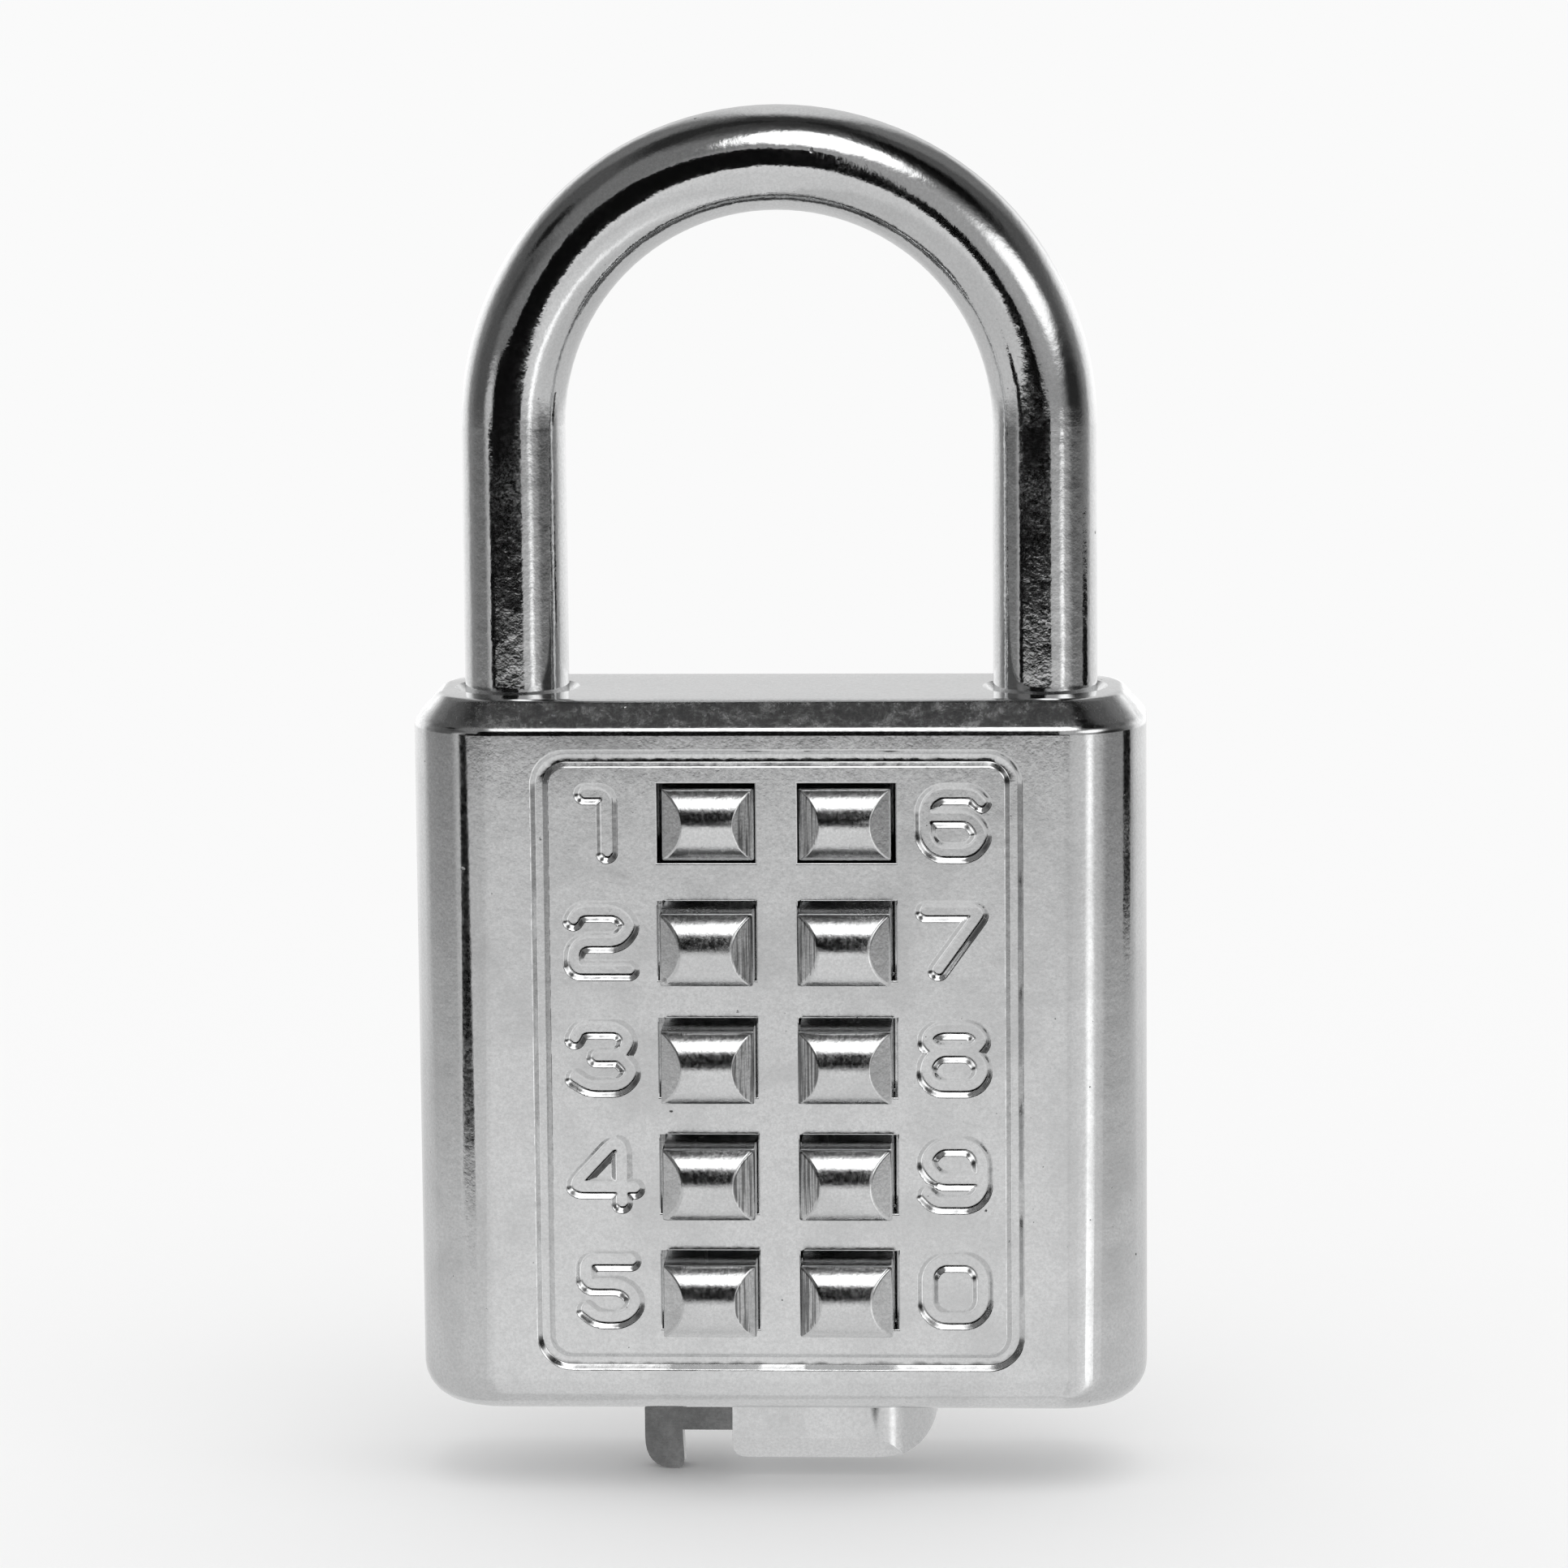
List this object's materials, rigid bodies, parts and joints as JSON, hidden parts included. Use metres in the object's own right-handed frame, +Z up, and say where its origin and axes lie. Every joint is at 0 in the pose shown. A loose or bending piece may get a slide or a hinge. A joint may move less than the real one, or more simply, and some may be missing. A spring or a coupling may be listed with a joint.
{
  "type": "push-button combination padlock",
  "caption": "Chromed combination padlock: a flat rounded case with two columns of numbered push-buttons, a round shackle that lifts, and a thumb latch below.",
  "frame": {"origin": "the inner top of the shackle's bow, where the padlock hangs from a staple or hasp", "axes": "+Z up through the bow, the keypad faces -Y, +X to the right of someone reading the keypad"},
  "size_m": [0.042, 0.0166, 0.0795],
  "materials": {
    "case_chrome": "bright chrome plate on a zinc casting, with fine pits",
    "cover_chrome": "bright chrome plate with a fine brushed grain",
    "shackle_chrome": "polished chrome plate on steel rod",
    "button_chrome": "bright chrome plate with milling marks",
    "thumb_chrome": "satin chrome plate on a zinc casting",
    "latch_steel": "tumbled steel",
    "screw_steel": "zinc plated steel",
    "plain_steel": "plain rolled steel",
    "spring_steel": "drawn spring wire",
    "bolt_brass": "machined brass"
  },
  "bodies": {
    "case": {"case_body": "case_chrome", "back_cover": "cover_chrome", "cover_screws": "screw_steel", "heel_pin": "plain_steel", "guide_plate": "plain_steel", "shackle_spring": "spring_steel", "latch_spring": "spring_steel", "button_spring_1": "spring_steel", "button_spring_2": "spring_steel", "button_spring_3": "spring_steel", "button_spring_4": "spring_steel", "button_spring_5": "spring_steel", "button_spring_6": "spring_steel", "button_spring_7": "spring_steel", "button_spring_8": "spring_steel", "button_spring_9": "spring_steel", "button_spring_0": "spring_steel"},
    "shackle": {"shackle": "shackle_chrome"},
    "latch": {"lock_plate": "plain_steel", "locking_bolt": "bolt_brass", "latch_bar": "latch_steel", "thumb_piece": "thumb_chrome"},
    "button_1": {"button_1": "button_chrome"},
    "button_2": {"button_2": "button_chrome"},
    "button_3": {"button_3": "button_chrome"},
    "button_4": {"button_4": "button_chrome"},
    "button_5": {"button_5": "button_chrome"},
    "button_6": {"button_6": "button_chrome"},
    "button_7": {"button_7": "button_chrome"},
    "button_8": {"button_8": "button_chrome"},
    "button_9": {"button_9": "button_chrome"},
    "button_0": {"button_0": "button_chrome"}
  },
  "joints": [
    {"name": "shackle_lift", "type": "slide", "parent": "case", "child": "shackle", "axis": [0, 0, 1], "range_m": [0, 0.01], "deforming": ["shackle_spring"]},
    {"name": "latch_slide", "type": "slide", "parent": "case", "child": "latch", "axis": [-1, 0, 0], "range_m": [0, 0.0024], "stiffness_N_per_m": 300, "springref_m": -0.002, "deforming": ["latch_spring"]},
    {"name": "button_1_press", "type": "slide", "parent": "case", "child": "button_1", "axis": [0, 1, 0], "range_m": [-0.0026, 0], "deforming": ["button_spring_1"]},
    {"name": "button_2_press", "type": "slide", "parent": "case", "child": "button_2", "axis": [0, 1, 0], "range_m": [0, 0.0026], "stiffness_N_per_m": 200, "springref_m": -0.001, "deforming": ["button_spring_2"]},
    {"name": "button_3_press", "type": "slide", "parent": "case", "child": "button_3", "axis": [0, 1, 0], "range_m": [0, 0.0026], "stiffness_N_per_m": 200, "springref_m": -0.001, "deforming": ["button_spring_3"]},
    {"name": "button_4_press", "type": "slide", "parent": "case", "child": "button_4", "axis": [0, 1, 0], "range_m": [0, 0.0026], "stiffness_N_per_m": 200, "springref_m": -0.001, "deforming": ["button_spring_4"]},
    {"name": "button_5_press", "type": "slide", "parent": "case", "child": "button_5", "axis": [0, 1, 0], "range_m": [0, 0.0026], "stiffness_N_per_m": 200, "springref_m": -0.001, "deforming": ["button_spring_5"]},
    {"name": "button_6_press", "type": "slide", "parent": "case", "child": "button_6", "axis": [0, 1, 0], "range_m": [-0.0026, 0], "deforming": ["button_spring_6"]},
    {"name": "button_7_press", "type": "slide", "parent": "case", "child": "button_7", "axis": [0, 1, 0], "range_m": [0, 0.0026], "stiffness_N_per_m": 200, "springref_m": -0.001, "deforming": ["button_spring_7"]},
    {"name": "button_8_press", "type": "slide", "parent": "case", "child": "button_8", "axis": [0, 1, 0], "range_m": [0, 0.0026], "stiffness_N_per_m": 200, "springref_m": -0.001, "deforming": ["button_spring_8"]},
    {"name": "button_9_press", "type": "slide", "parent": "case", "child": "button_9", "axis": [0, 1, 0], "range_m": [0, 0.0026], "stiffness_N_per_m": 200, "springref_m": -0.001, "deforming": ["button_spring_9"]},
    {"name": "button_0_press", "type": "slide", "parent": "case", "child": "button_0", "axis": [0, 1, 0], "range_m": [0, 0.0026], "stiffness_N_per_m": 200, "springref_m": -0.001, "deforming": ["button_spring_0"]}
  ]
}
